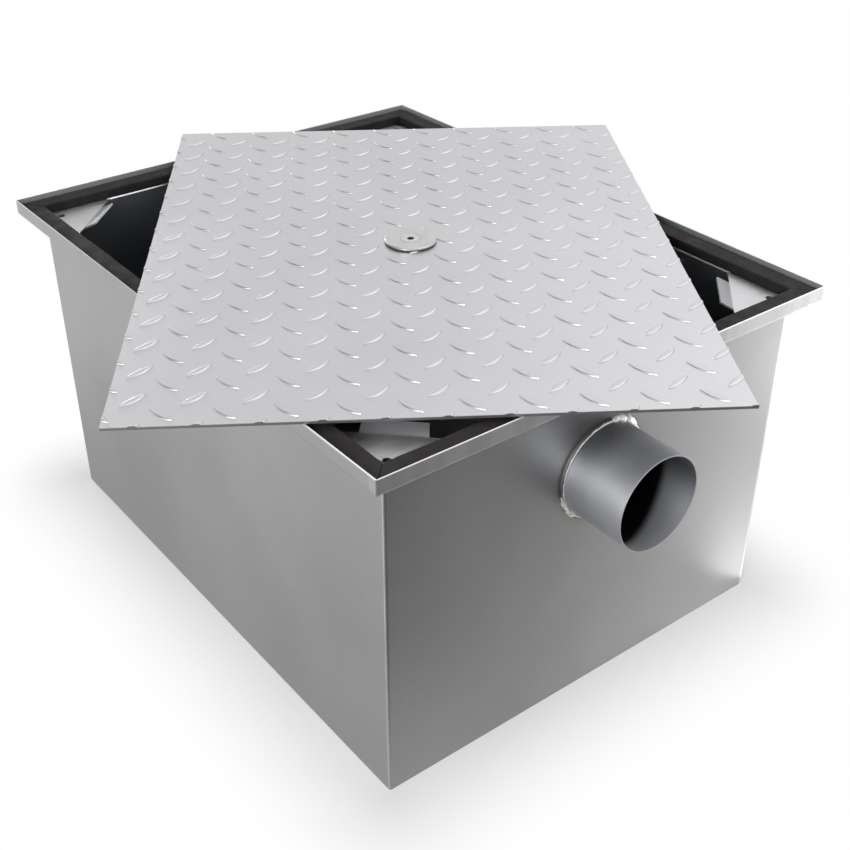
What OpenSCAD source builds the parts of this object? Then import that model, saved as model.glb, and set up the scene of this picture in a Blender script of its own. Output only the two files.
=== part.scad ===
// Grease trap for a kitchen drain: a welded sheet steel tank with a folded rim,
// a foam gasket on the rim's ledge, corner gussets, removable baffles, two pipe
// spigots and a loose tread plate lid with a captive screw, lying askew on the rim.
// The origin is the middle of the tank's underside, +Z is up, and the inlet
// spigot points along -Y. All sizes are in millimetres.

/* [Tank] */
// Width of the tank over its side walls
tank_w = 557; // [400:1:900]
// Length of the tank over its end walls
tank_l = 726; // [560:1:1200]
// Height from the underside to the top of the rim
tank_h = 423; // [400:1:700]
// Thickness of the tank's sheet
sheet_t = 1.5; // [1.2:0.1:3]
// Inside radius of the sheet's folds
bend_in_r = 1.5; // [0.5:0.5:3]
// Radius of the ground corner welds
corner_r = 3; // [1:0.5:4]

/* [Rim] */
// How far the rim stands out from the wall
rim_out = 25.5; // [18:0.5:50]
// Height of the rim's upturned lip over its ledge
lip_h = 18.5; // [14:0.5:30]

/* [Spigots] */
// Outside diameter of both spigots
pipe_d = 110; // [50:1:160]
// Wall of both spigots
pipe_t = 1.5; // [1:0.25:5]
// How far the spigots stand out from the end walls
pipe_out = 82; // [40:1:150]
// Height of the inlet's axis over the underside
inlet_z = 295; // [240:1:310]
// How much lower the outlet is than the inlet
outlet_drop = 25; // [0:1:60]
// Leg of the fillet weld round a spigot
weld_leg = 4.5; // [2:0.5:8]

/* [Gasket] */
// Height of the foam strips
gasket_h = 12; // [6:0.5:16]
// Room between a strip and the fold of the lip
gasket_gap = 0.5; // [0.2:0.1:2]
// Slit between two strips at a corner
gasket_slit = 0.8; // [0.4:0.1:2]
// Radius of a strip's upper edges
gasket_r = 1.5; // [0.5:0.5:2.5]

/* [Gussets] */
// Leg of a corner gusset along each wall
gusset_leg = 87; // [70:1:120]
// Thickness of a gusset
gusset_t = 2; // [1.5:0.5:4]
// Room between a gusset and the strips above it
gusset_room = 1; // [0.5:0.25:2]
// Corner cut off a gusset where the walls are welded
gusset_crop = 5; // [2:0.5:8]
// Diameter of the vent hole in a gusset
gusset_hole_d = 9; // [5:0.5:12]
// Distance of the vent hole from both walls
gusset_hole_in = 14; // [11:0.5:20]
// Length of the tab where it leaves the gusset
tab_base = 66; // [30:1:80]
// Length of the tab's free edge
tab_edge = 63; // [24:1:66]
// Width of the tab
tab_w = 16; // [8:0.5:25]
// How far the tab is bent up
tab_angle = 26; // [10:1:60]
// Radius of the tab's bend on its upper side
tab_bend_r = 8; // [3:1:10]

/* [Baffles] */
// Distance of a baffle from the outside of its end wall
baffle_in = 157; // [110:1:190]
// Height of the baffles' upper edge over the floor
baffle_h = 328; // [240:1:350]
// Thickness of a baffle
baffle_t = 2; // [1.5:0.5:4]
// Height of the flow gap under the inlet baffle
inlet_gap_h = 130; // [60:1:180]
// Height of the flow gap under the outlet baffle
outlet_gap_h = 80; // [40:1:160]
// Width of the legs on which a baffle stands
baffle_leg = 45; // [30:1:80]
// Corner radius of the flow gap
baffle_gap_r = 12; // [4:1:20]
// Width of the grip folded along a baffle's upper edge
baffle_grip = 18; // [10:1:30]
// Room between a baffle and its guides
guide_room = 1; // [0.5:0.25:3]
// Depth of a guide channel
guide_d = 15; // [10:1:25]
// Distance from the rim's top down to the guides
guide_below = 28; // [24:1:60]

/* [Crossbar] */
// Width of the bar that the lid's screw holds on to
bar_w = 25; // [23:1:28]
// Height of the bar
bar_h = 18; // [14:1:40]
// Thickness of the bar
bar_t = 2; // [1.5:0.25:2.5]
// Distance from the rim's top down to the bar
bar_below = 38; // [36:1:60]
// Width across the flats of the welded nut
nut_af = 18; // [16:0.5:18]
// Height of the nut
nut_h = 10; // [6:0.5:12]

/* [Lid] */
// Room between the lid's edge and the lip once it is laid in
lid_room = 0.5; // [0.5:0.25:3]
// Thickness of the plate without its tread
lid_t = 3; // [2:0.5:6]
// Turn of the lid as it lies on the rim
lid_turn = -34; // [-40:1:40]
// Shift of the lid's middle along the width
lid_x = 10.5; // [-20:0.5:20]
// Shift of the lid's middle along the length
lid_y = -21.5; // [-40:0.5:-20]

/* [Tread] */
// Length of one lozenge
lozenge_l = 33.5; // [20:0.5:36]
// Width of one lozenge
lozenge_w = 8.5; // [5:0.5:10]
// Height of the lozenges
lozenge_h = 1.2; // [0.6:0.1:2]
// Run of a lozenge's sloping side
lozenge_run = 1.5; // [0.5:0.1:1.6]
// Spacing of like lozenges along the lid's width
tread_x = 57.2; // [52:0.1:80]
// Spacing of like lozenges along the lid's length
tread_y = 52.8; // [50:0.1:80]
// Shift of the pattern from the lid's middle along its width
tread_dx = 8; // [-25:0.5:25]
// Shift of the pattern from the lid's middle along its length
tread_dy = -23; // [-25:0.5:25]

/* [Lid screw] */
// Diameter of the disc under the screw's head
disc_d = 60.5; // [45:0.5:90]
// Thickness of the disc
disc_t = 3; // [2.5:0.5:5]
// Chamfer round the disc
disc_bevel = 0.6; // [0.2:0.1:1]
// Diameter of the screw's thread
screw_d = 12; // [10:0.5:12]
// Pitch of the screw's thread
thread_pitch = 1.75; // [1:0.25:2]
// Bevel at the screw's tip
tip_bevel = 1.2; // [0.5:0.1:2]
// Diameter of the screw's countersunk head
head_d = 22.5; // [20:0.5:26]
// Length of the screw with its head
screw_l = 55; // [40:1:56]
// Width across the flats of the screw's socket
socket_af = 8; // [5:0.5:8]
// Depth of the socket
socket_deep = 4.5; // [3:0.5:6]
// Room between the screw and what it turns in
screw_room = 0.3; // [0.2:0.1:0.5]
// Room round the screw in the lid and in the crossbar
hole_room = 1; // [0.5:0.25:1.5]
// Outside diameter of the seal under the lid
seal_d = 34; // [28:1:50]
// Thickness of the seal
seal_t = 2.5; // [1.5:0.5:4]
// Outside diameter of the clip that keeps the screw in the lid
clip_d = 20; // [16:0.5:24]
// Thickness of the clip
clip_t = 1.2; // [0.8:0.1:2]
// Depth of the groove that holds the clip
groove_deep = 1; // [0.5:0.25:1.5]

/* [Hidden] */
$fn = 64;

// Overshoot of cutting shapes past the faces that they cut
over = 1;
// Depth to which raised shapes reach into the sheet that carries them
sink = 0.5;

// Tank and rim
half_w = tank_w / 2;
half_l = tank_l / 2;
in_w = tank_w - 2 * sheet_t;
in_l = tank_l - 2 * sheet_t;
bend_out_r = bend_in_r + sheet_t;
ledge_z = tank_h - lip_h;
ledge_top = ledge_z + sheet_t;
wall_top = ledge_z - bend_in_r;

// Spigots
pipe_r = pipe_d / 2;
pipe_in_r = pipe_r - pipe_t;
mouth_bevel = pipe_t / 5;

// Gasket
gasket_w = rim_out - bend_in_r - gasket_gap;

// Gussets, whose lower face lies where the wall's inner face starts to fold out, or below
gusset_z = wall_top + min(gusset_t, bend_out_r - gusset_room);
gusset_deep = gusset_leg / sqrt(2);
tab_run = tab_w * cos(tab_angle);
tab_rise = tab_w * sin(tab_angle);
tab_tangent = tab_bend_r * tan(tab_angle / 2);
bend_steps = 8;

// Baffles and guides
baffle_y = half_l - baffle_in;
guide_slot = baffle_t + 2 * guide_room;
guide_w = guide_slot + 2 * sheet_t;
guide_in_r = min(bend_in_r, guide_slot / 3);
guide_top = tank_h - guide_below;
baffle_w = in_w - 2 * (sheet_t + guide_room);
grip_l = in_w - 2 * (guide_d + baffle_t + guide_room);
baffle_bend_r = bend_in_r + baffle_t;

// Crossbar
bar_top = tank_h - bar_below;
bar_in_r = min(bend_in_r, bar_t);
bar_hole_d = screw_d + 2 * hole_room;
thread_core_d = screw_d - thread_pitch;

// Lid
lid_w = in_w + 2 * rim_out - 2 * lid_room;
lid_l = in_l + 2 * rim_out - 2 * lid_room;
lozenge_r = (pow(lozenge_l, 2) + pow(lozenge_w, 2)) / (4 * lozenge_w);
lozenge_slope = lozenge_run / lozenge_h;
tread_i = ceil(lid_w / tread_x / 2) + 1;
tread_j = ceil(lid_l / tread_y / 2) + 1;

// Lid screw, measured up from the lid's underside
disc_z = lid_t + lozenge_h;
head_top = disc_z + disc_t;
head_h = (head_d - screw_d) / 2;
lid_hole_d = head_d - 2 * disc_t + 2 * (screw_room + hole_room);
seal_hole_d = screw_d + 2 * screw_room;
clip_z = -seal_t - screw_room - clip_t;
clip_core_d = screw_d - 2 * groove_deep;

// Quarter of a ring in the quadrant that starts at an angle
module quarter_ring(inner, outer, from) {
    rotate(from) intersection() {
        difference() {
            circle(outer);
            circle(inner);
        }
        square(outer + over);
    }
}

// Section of a wall with its ledge folded out and its lip folded up
module wall_section(half) {
    lip_x = half + rim_out;
    translate([half - sheet_t, 0]) square([sheet_t, wall_top]);
    translate([half + bend_in_r, wall_top]) quarter_ring(bend_in_r, bend_out_r, 90);
    translate([half + bend_in_r, ledge_z])
        square([rim_out - bend_in_r - bend_out_r, sheet_t]);
    translate([lip_x - bend_out_r, ledge_z + bend_out_r])
        quarter_ring(bend_in_r, bend_out_r, 270);
    translate([lip_x - sheet_t, ledge_z + bend_out_r]) square([sheet_t, lip_h - bend_out_r]);
}

// Plan of one side of the rim between two mitres, from one distance out to another
module mitred_plan(half, other, inner, outer, slit = 0) {
    reach = other - half - slit / 2 * sqrt(2);
    polygon([
        [inner, -inner - reach], [outer, -outer - reach],
        [outer, outer + reach], [inner, inner + reach]
    ]);
}

// What a rounded upright edge loses of its square corner
module corner_loss(x, y) {
    translate([x - corner_r, y - corner_r]) difference() {
        square(corner_r + over);
        circle(corner_r);
    }
}

// One folded wall panel that faces +X, mitred and rounded at both corners
module wall_panel(half, other) {
    rim = half + rim_out;
    difference() {
        intersection() {
            rotate([90, 0, 0])
                linear_extrude(2 * (other + rim_out + over), center = true) wall_section(half);
            translate([0, 0, -over])
                linear_extrude(tank_h + 2 * over)
                    mitred_plan(half, other, half - sheet_t - over, rim + over);
        }
        for (side = [0, 1]) mirror([0, side, 0]) {
            translate([0, 0, -over]) linear_extrude(wall_top + over) corner_loss(half, other);
            translate([0, 0, ledge_z - over])
                linear_extrude(lip_h + 2 * over) corner_loss(rim, other + rim_out);
        }
    }
}

module floor_plate() {
    color("darkgray")
        translate([-in_w / 2, -in_l / 2, 0]) cube([in_w, in_l, sheet_t]);
}

module side_panel(turn) {
    color("darkgray") rotate(turn) wall_panel(half_w, half_l);
}

// End wall with the hole into its spigot
module end_panel(turn, pipe_z) {
    color("gray") rotate(turn) difference() {
        wall_panel(half_l, half_w);
        translate([half_l - sheet_t - over, 0, pipe_z]) rotate([0, 90, 0])
            cylinder(r = pipe_in_r, h = sheet_t + 2 * over);
    }
}

// Pipe stub with eased edges at its mouth and a fillet weld at its foot
module spigot_section() {
    polygon([
        [pipe_in_r, 0], [pipe_r, 0],
        [pipe_r, pipe_out - mouth_bevel], [pipe_r - mouth_bevel, pipe_out],
        [pipe_in_r + mouth_bevel, pipe_out], [pipe_in_r, pipe_out - mouth_bevel]
    ]);
    intersection() {
        translate([pipe_r, 0]) circle(weld_leg);
        translate([pipe_r - pipe_t / 2, 0]) square(weld_leg + pipe_t);
    }
}

module spigot(turn, pipe_z) {
    color("slategray") rotate(turn) translate([half_l, 0, pipe_z]) rotate([0, 90, 0])
        rotate_extrude() spigot_section();
}

// Point on a gusset's bend at a radius, some steps on from the flat plate
function bend_point(radius, step) =
    let(turn = tab_angle * step / bend_steps)
    [radius * sin(turn) - tab_tangent, tab_bend_r - radius * cos(turn)];

// Section across a gusset's free edge: the flat plate, the bend and the tab
module gusset_section() {
    polygon(concat(
        [[-gusset_deep - over, -gusset_t], [-gusset_deep - over, 0]],
        [for (step = [0 : bend_steps]) bend_point(tab_bend_r, step)],
        [[tab_run, tab_rise],
         [tab_run + gusset_t * sin(tab_angle), tab_rise - gusset_t * cos(tab_angle)]],
        [for (step = [bend_steps : -1 : 0]) bend_point(tab_bend_r + gusset_t, step)]
    ));
}

// Plan of a gusset: a right-angled triangle with a cropped corner and a tapered tab
module gusset_plan() {
    crop = gusset_crop / sqrt(2);
    reach = tab_run + gusset_t;
    reach_half = tab_base / 2 - (tab_base - tab_edge) / 2 * reach / tab_run;
    polygon([
        [-gusset_deep, 0], [-tab_base / 2, 0], [-reach_half, reach],
        [reach_half, reach], [tab_base / 2, 0], [gusset_deep, 0],
        [crop, crop - gusset_deep], [-crop, crop - gusset_deep]
    ]);
}

// Gusset in the frame of its free edge's middle, with its upper face at zero height
module gusset_plate() {
    difference() {
        intersection() {
            rotate([90, 0, 90]) linear_extrude(2 * gusset_deep, center = true) gusset_section();
            translate([0, 0, -gusset_t - over])
                linear_extrude(gusset_t + tab_rise + 2 * over) gusset_plan();
        }
        translate([0, gusset_hole_in * sqrt(2) - gusset_deep, -gusset_t - over])
            cylinder(d = gusset_hole_d, h = gusset_t + 2 * over);
    }
}

module gusset(x_side, y_side) {
    color("gainsboro")
        in_corner(x_side, y_side)
            translate([(in_w - gusset_leg) / 2, (in_l - gusset_leg) / 2, gusset_z])
                rotate(135) gusset_plate();
}

// Puts a shape made for the +X +Y corner in another corner
module in_corner(x_side, y_side) {
    mirror([x_side < 0 ? 1 : 0, 0, 0]) mirror([0, y_side < 0 ? 1 : 0, 0]) children();
}

// Foam strip's section, rounded along its upper edges
module gasket_section(inner) {
    translate([inner, 0]) square([gasket_w, gasket_h - gasket_r]);
    translate([inner + gasket_r, 0]) square([gasket_w - 2 * gasket_r, gasket_h]);
    for (x = [gasket_r, gasket_w - gasket_r])
        translate([inner + x, gasket_h - gasket_r]) circle(gasket_r);
}

// Strip on one side of the ledge, flush with the wall's inner face and mitred
module gasket(turn, half, other) {
    inner = half - sheet_t;
    color("dimgray") rotate(turn) translate([0, 0, ledge_top]) intersection() {
        rotate([90, 0, 0])
            linear_extrude(2 * (other + rim_out), center = true) gasket_section(inner);
        translate([0, 0, -over]) linear_extrude(gasket_h + 2 * over)
            mitred_plan(half, other, inner - over, inner + gasket_w + over, gasket_slit);
    }
}

// Plan of a folded channel with its web on the line x = 0 and open towards +X
module channel_outline(width, depth, radius) {
    translate([radius, -width / 2]) square([depth - radius, width]);
    translate([0, radius - width / 2]) square([depth, width - 2 * radius]);
    for (side = [-1, 1]) translate([radius, side * (width / 2 - radius)]) circle(radius);
}

module channel(width, depth, wall, radius) {
    difference() {
        channel_outline(width, depth, radius + wall);
        translate([wall, 0]) channel_outline(width - 2 * wall, depth, radius);
    }
}

module baffle_guide(x_side, y_side) {
    color("silver") in_corner(x_side, y_side)
        translate([in_w / 2, baffle_y, sheet_t]) rotate(180)
            linear_extrude(guide_top - sheet_t) channel(guide_w, guide_d, sheet_t, guide_in_r);
}

// Plate that stands on two legs, with the flow gap between them
module baffle_outline(gap_h) {
    gap_w = baffle_w - 2 * baffle_leg;
    difference() {
        translate([-baffle_w / 2, 0]) square([baffle_w, baffle_h - baffle_bend_r]);
        translate([-gap_w / 2, -over]) square([gap_w, gap_h - baffle_gap_r + over]);
        translate([baffle_gap_r - gap_w / 2, -over])
            square([gap_w - 2 * baffle_gap_r, gap_h + over]);
        for (side = [-1, 1])
            translate([side * (gap_w / 2 - baffle_gap_r), gap_h - baffle_gap_r])
                circle(baffle_gap_r);
    }
}

// Baffle of the +Y end, with its grip folded towards the middle of the tank
module baffle(y_side, gap_h) {
    color("lightgray") in_corner(1, y_side) translate([0, baffle_y - baffle_t / 2, sheet_t]) {
        translate([0, baffle_t, 0]) rotate([90, 0, 0])
            linear_extrude(baffle_t) baffle_outline(gap_h);
        rotate([90, 0, 90]) linear_extrude(grip_l, center = true) {
            translate([-bend_in_r, baffle_h - baffle_bend_r])
                quarter_ring(bend_in_r, baffle_bend_r, 0);
            translate([-baffle_grip, baffle_h - baffle_t])
                square([baffle_grip - bend_in_r, baffle_t]);
        }
    }
}

// Channel from wall to wall, open downwards, with the screw's hole in its web
module lid_crossbar() {
    color("silver") difference() {
        translate([0, 0, bar_top]) rotate([90, 0, 90]) linear_extrude(in_w, center = true)
            rotate(-90) channel(bar_w, bar_h, bar_t, bar_in_r);
        translate([0, 0, bar_top - bar_t - over]) cylinder(d = bar_hole_d, h = bar_t + 2 * over);
    }
}

// Hexagon nut with eased corners, welded under the bar's web
module crossbar_nut() {
    corner = nut_af / cos(30) / 2;
    ease = corner - nut_af / 2;
    color("silver") translate([0, 0, bar_top - bar_t - nut_h]) difference() {
        intersection() {
            cylinder(r = corner, h = nut_h, $fn = 6);
            rotate_extrude() polygon([
                [0, 0], [nut_af / 2, 0], [corner, ease / 2], [corner, nut_h], [0, nut_h]
            ]);
        }
        translate([0, 0, -over]) cylinder(d = thread_core_d, h = nut_h + 2 * over);
    }
}

// Puts the lid's own frame, with its origin under the plate's middle, on the rim
module on_rim() {
    translate([lid_x, lid_y, tank_h]) rotate(lid_turn) children();
}

// Raised lens with sloping sides: where two wide cones cross
module lozenge() {
    foot_r = lozenge_r + sink * lozenge_slope;
    intersection_for(side = [-1, 1])
        translate([0, side * (lozenge_r - lozenge_w / 2), lid_t - sink])
            cylinder(r1 = foot_r, r2 = lozenge_r - lozenge_run, h = lozenge_h + sink);
}

// Two interleaved rows of lozenges that lean left and right in turn
module tread() {
    for (i = [-tread_i : tread_i], j = [-tread_j : tread_j]) {
        x = tread_dx + i * tread_x;
        y = tread_dy + j * tread_y;
        translate([x, y, 0]) rotate(45) lozenge();
        translate([x + tread_x / 2, y + tread_y / 2, 0]) rotate(-45) lozenge();
    }
}

module lid_plate() {
    plan = [lid_w, lid_l];
    color("lightgray") on_rim() difference() {
        union() {
            linear_extrude(lid_t) square(plan, center = true);
            intersection() {
                tread();
                linear_extrude(lid_t + lozenge_h + over) square(plan, center = true);
            }
        }
        translate([0, 0, -over]) cylinder(d = lid_hole_d, h = lid_t + lozenge_h + 2 * over);
    }
}

// Flat disc on the tread, countersunk for the screw's head
module lid_disc() {
    disc_r = disc_d / 2;
    seat_r = head_d / 2 + screw_room * sqrt(2);
    color("gainsboro") on_rim() translate([0, 0, disc_z]) rotate_extrude() polygon([
        [seat_r - disc_t, 0], [disc_r, 0], [disc_r, disc_t - disc_bevel],
        [disc_r - disc_bevel, disc_t], [seat_r, disc_t]
    ]);
}

module lid_seal() {
    color("dimgray") on_rim() translate([0, 0, -seal_t]) difference() {
        cylinder(d = seal_d, h = seal_t);
        translate([0, 0, -over]) cylinder(d = seal_hole_d, h = seal_t + 2 * over);
    }
}

// Countersunk socket screw with the groove for its clip
module lid_screw() {
    screw_r = screw_d / 2;
    tip = head_top - screw_l;
    color("silver") on_rim() difference() {
        rotate_extrude() polygon([
            [0, tip], [screw_r - tip_bevel, tip], [screw_r, tip + tip_bevel],
            [screw_r, clip_z], [clip_core_d / 2, clip_z],
            [clip_core_d / 2, clip_z + clip_t], [screw_r, clip_z + clip_t],
            [screw_r, head_top - head_h], [head_d / 2, head_top], [0, head_top]
        ]);
        translate([0, 0, head_top - socket_deep])
            cylinder(d = socket_af / cos(30), h = socket_deep + over, $fn = 6);
    }
}

module screw_clip() {
    color("gray") on_rim() translate([0, 0, clip_z]) difference() {
        cylinder(d = clip_d, h = clip_t);
        translate([0, 0, -over]) cylinder(d = clip_core_d, h = clip_t + 2 * over);
    }
}

floor_plate();
side_panel(180);  // side_panel_left
side_panel(0);  // side_panel_right
end_panel(-90, inlet_z);  // end_panel_inlet
end_panel(90, inlet_z - outlet_drop);  // end_panel_outlet
spigot(-90, inlet_z);  // inlet_spigot
spigot(90, inlet_z - outlet_drop);  // outlet_spigot
gusset(-1, -1);  // gusset_inlet_left
gusset(1, -1);  // gusset_inlet_right
gusset(-1, 1);  // gusset_outlet_left
gusset(1, 1);  // gusset_outlet_right
gasket(180, half_w, half_l);  // gasket_left
gasket(0, half_w, half_l);  // gasket_right
gasket(-90, half_l, half_w);  // gasket_inlet
gasket(90, half_l, half_w);  // gasket_outlet
baffle_guide(-1, -1);  // baffle_guide_inlet_left
baffle_guide(1, -1);  // baffle_guide_inlet_right
baffle_guide(-1, 1);  // baffle_guide_outlet_left
baffle_guide(1, 1);  // baffle_guide_outlet_right
baffle(-1, inlet_gap_h);  // inlet_baffle
baffle(1, outlet_gap_h);  // outlet_baffle
lid_crossbar();
crossbar_nut();
lid_plate();
lid_disc();
lid_seal();
lid_screw();
screw_clip();
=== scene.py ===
import math
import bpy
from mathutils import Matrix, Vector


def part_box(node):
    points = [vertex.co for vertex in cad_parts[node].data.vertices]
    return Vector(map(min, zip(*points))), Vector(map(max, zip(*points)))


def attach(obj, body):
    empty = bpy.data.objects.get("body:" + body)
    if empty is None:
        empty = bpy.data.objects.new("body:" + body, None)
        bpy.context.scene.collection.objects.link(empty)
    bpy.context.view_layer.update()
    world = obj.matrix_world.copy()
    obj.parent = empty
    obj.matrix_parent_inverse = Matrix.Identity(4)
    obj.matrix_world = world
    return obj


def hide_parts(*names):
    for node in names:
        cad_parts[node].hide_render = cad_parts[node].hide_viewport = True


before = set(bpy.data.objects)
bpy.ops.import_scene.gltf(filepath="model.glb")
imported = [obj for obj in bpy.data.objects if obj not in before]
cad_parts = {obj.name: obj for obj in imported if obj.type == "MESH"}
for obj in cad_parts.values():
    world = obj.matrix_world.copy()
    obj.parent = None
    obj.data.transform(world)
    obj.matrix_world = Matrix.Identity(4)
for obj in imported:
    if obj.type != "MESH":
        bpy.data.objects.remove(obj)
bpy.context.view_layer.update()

from types import SimpleNamespace

import bmesh
import bpy
from mathutils import Matrix, Vector, noise


# Tank walls and floor.
# Stainless sheet, 1.5 mm, with a satin mill finish. Each wall is folded out to a ledge and up to a lip along
# its top, and the walls are welded up the corners and round the floor, where the welds are ground flush.

SHEET_T = 0.0015
TANK_HALF_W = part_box("floor_plate")[1][0] + SHEET_T
TANK_HALF_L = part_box("floor_plate")[1][1] + SHEET_T
RIM_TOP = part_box("side_panel_left")[1][2]
RIM_OUT = -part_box("side_panel_left")[0][0] - TANK_HALF_W
LEDGE_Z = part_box("gasket_left")[0][2]

SHEET_DARK = (0.335, 0.334, 0.336, 1.0)
SHEET_LIGHT = (0.385, 0.383, 0.380, 1.0)
WALL_INSIDE = (0.20, 0.215, 0.235, 1.0)
LIP_INSIDE = (0.46, 0.49, 0.49, 1.0)
GROUND_WELD_AND_HIGHLIGHT = (0.56, 0.56, 0.56, 1.0)
SHEARED_EDGE_AND_HIGHLIGHT = (0.85, 0.85, 0.86, 1.0)
HEAT_STRAW = (0.31, 0.28, 0.24, 1.0)
END_LIP = (0.52, 0.52, 0.525, 1.0)
END_LIP_STREAK = (0.475, 0.475, 0.48, 1.0)
FOLD_SHADE = (0.05, 0.05, 0.052, 1.0)

# Density of each pattern per metre along X, Y and Z. A low one draws the pattern out into grain that way.
SHEET_GRAIN = (14.0, 14.0, 620.0)
SHEET_CLOUDS = (5.0, 5.0, 4.0)
SCUFFS = (30.0, 30.0, 240.0)
SCUFF_PATCHES = (6.0, 6.0, 9.0)
LIP_STREAKS = (75.0, 75.0, 5.0)
GRINDER_STROKES = (900.0, 900.0, 40.0)
HEAT_PATCHES = (60.0, 60.0, 60.0)

# Shares of grain and clouds in the tone, and the spans of tone over which the marks come in.
SHEET_SHARES = (0.3, 0.8)
SHEET_TONES = (0.35, 0.75)
SCUFF_TONES = (0.66, 0.74)
PATCH_TONES = (0.5, 0.66, 0.0, 0.35)
STREAK_TONES = (0.4, 0.62)
STROKE_TONES = (0.3, 0.7, 0.45, 1.0)
SHEET_ROUGHNESS = (0.37, 0.43)
INSIDE_DULLER = 0.16
SHEET_RELIEF = 0.000008

# Where the marks lie: from and to, in metres above the ledge, below the outer face or past the wall.
RIM_FROM = (-0.004, -0.002)
INSIDE_FACE = (0.0010, 0.0024, 0.0003)
MOUTH_FOLD = (-0.0026, 0.0004, 0.0004)
MOUTH_INNER = (0.004, 0.002)
GUSSET_SPAN = (-0.086, -0.084)
LIP_FACE = (0.0010, 0.0007)
LIP_FOLD = (-0.0010, 0.0002, 0.0002)
FOLD_FACE = (0.0018, 0.0014)
CUT_EDGE = (-0.0009, -0.0004)
CUT_AT_MIDDLE = 0.1

# How far the corner welds were ground back, on the wall and on the lip, and how much further a painted
# highlight reaches on the ends at the right.
SIDE_GRINDING = (0.0032, 0.011)
END_GRINDING = (0.0004, 0.003)
RIGHT_EDGE_HIGHLIGHT = 0.0042
RIGHT_HALF = (0.0, 0.2)
GRINDING_EDGE = (1.1, 0.9)
LIP_GRINDING = 0.3

# Heat tint round a pipe: where it starts and is full, by distance from the pipe's middle, and how strong.
HEAT_REACH = (0.078, 0.062, 0.0, 0.6)
HEAT_WANDER = 0.012


def new_finish(name, metal, roughness):
    finish = bpy.data.materials.new(name)
    finish.use_nodes = True
    shader = finish.node_tree.nodes["Principled BSDF"]
    shader.inputs["Metallic"].default_value = metal
    shader.inputs["Roughness"].default_value = roughness
    return finish, shader


def add_node(finish, kind, **settings):
    made = finish.node_tree.nodes.new(kind)
    for name, value in settings.items():
        setattr(made, name, value)
    return made


def wire(finish, source, target):
    finish.node_tree.links.new(source, target)


def reckon(finish, kind, first, second=0.0):
    """Works out a value from one or two others, each a number or another value in the finish."""
    made = add_node(finish, "ShaderNodeMath", operation=kind)
    for socket, value in zip(made.inputs, (first, second)):
        if isinstance(value, (int, float)):
            socket.default_value = value
        else:
            wire(finish, value, socket)
    return made.outputs[0]


def plus(finish, first, second):
    return reckon(finish, "ADD", first, second)


def less(finish, first, second):
    return reckon(finish, "SUBTRACT", first, second)


def times(finish, first, second):
    return reckon(finish, "MULTIPLY", first, second)


def ramp(finish, value, start, end, low=0.0, high=1.0):
    """Takes start to low and end to high with soft ends."""
    made = add_node(finish, "ShaderNodeMapRange", interpolation_type="SMOOTHSTEP")
    made.inputs["From Min"].default_value = start
    made.inputs["From Max"].default_value = end
    made.inputs["To Min"].default_value = low
    made.inputs["To Max"].default_value = high
    wire(finish, value, made.inputs["Value"])
    return made.outputs["Result"]


def band(finish, value, low, high, soft):
    """1 where value lies between low and high, with soft ends."""
    above = ramp(finish, value, low - soft, low + soft)
    return times(finish, above, ramp(finish, value, high - soft, high + soft, 1.0, 0.0))


def place_on_piece(finish):
    return add_node(finish, "ShaderNodeTexCoord").outputs["Object"]


def split_place(finish):
    parts = add_node(finish, "ShaderNodeSeparateXYZ")
    wire(finish, place_on_piece(finish), parts.inputs[0])
    return parts.outputs


def distance(finish, along, across):
    """How far a place lies from a middle that it is this far along and across from."""
    sides = add_node(finish, "ShaderNodeCombineXYZ")
    wire(finish, along, sides.inputs[0])
    wire(finish, across, sides.inputs[1])
    length = add_node(finish, "ShaderNodeVectorMath", operation="LENGTH")
    wire(finish, sides.outputs[0], length.inputs[0])
    return length.outputs["Value"]


def clouds(finish, per_metre, detail=3.0, shift=0.0, place=None):
    """Noise over the piece, per_metre dense along X, Y and Z. The shift picks another stretch of it."""
    spread = add_node(finish, "ShaderNodeMapping")
    spread.inputs["Scale"].default_value = per_metre
    spread.inputs["Location"].default_value = (shift, shift * 1.7, shift * 0.6)
    wire(finish, place or place_on_piece(finish), spread.inputs["Vector"])
    pattern = add_node(finish, "ShaderNodeTexNoise")
    pattern.inputs["Scale"].default_value = 1.0
    pattern.inputs["Detail"].default_value = detail
    wire(finish, spread.outputs["Vector"], pattern.inputs["Vector"])
    return pattern.outputs["Fac"]


def mottle(finish, fine, broad, shares):
    """A tone made of a fine pattern and a broad one by their shares."""
    return plus(finish, times(finish, fine, shares[0]), times(finish, broad, shares[1]))


def blend_colours(finish, amount, first, second):
    made = add_node(finish, "ShaderNodeMix", data_type="RGBA")
    wire(finish, amount, made.inputs["Factor"])
    colour_sockets = [socket for socket in made.inputs if socket.type == "RGBA"]
    for socket, value in zip(colour_sockets, (first, second)):
        if isinstance(value, tuple):
            socket.default_value = value
        else:
            wire(finish, value, socket)
    return next(socket for socket in made.outputs if socket.type == "RGBA")


def lay_on(finish, shader, colour, roughness, height, relief):
    """Gives a finish its colour and roughness, and raises it by up to relief metres where height is 1."""
    wire(finish, colour, shader.inputs["Base Color"])
    wire(finish, roughness, shader.inputs["Roughness"])
    raised = add_node(finish, "ShaderNodeBump")
    raised.inputs["Strength"].default_value = 1.0
    raised.inputs["Distance"].default_value = relief
    wire(finish, height, raised.inputs["Height"])
    wire(finish, raised.outputs["Normal"], shader.inputs["Normal"])


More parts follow.
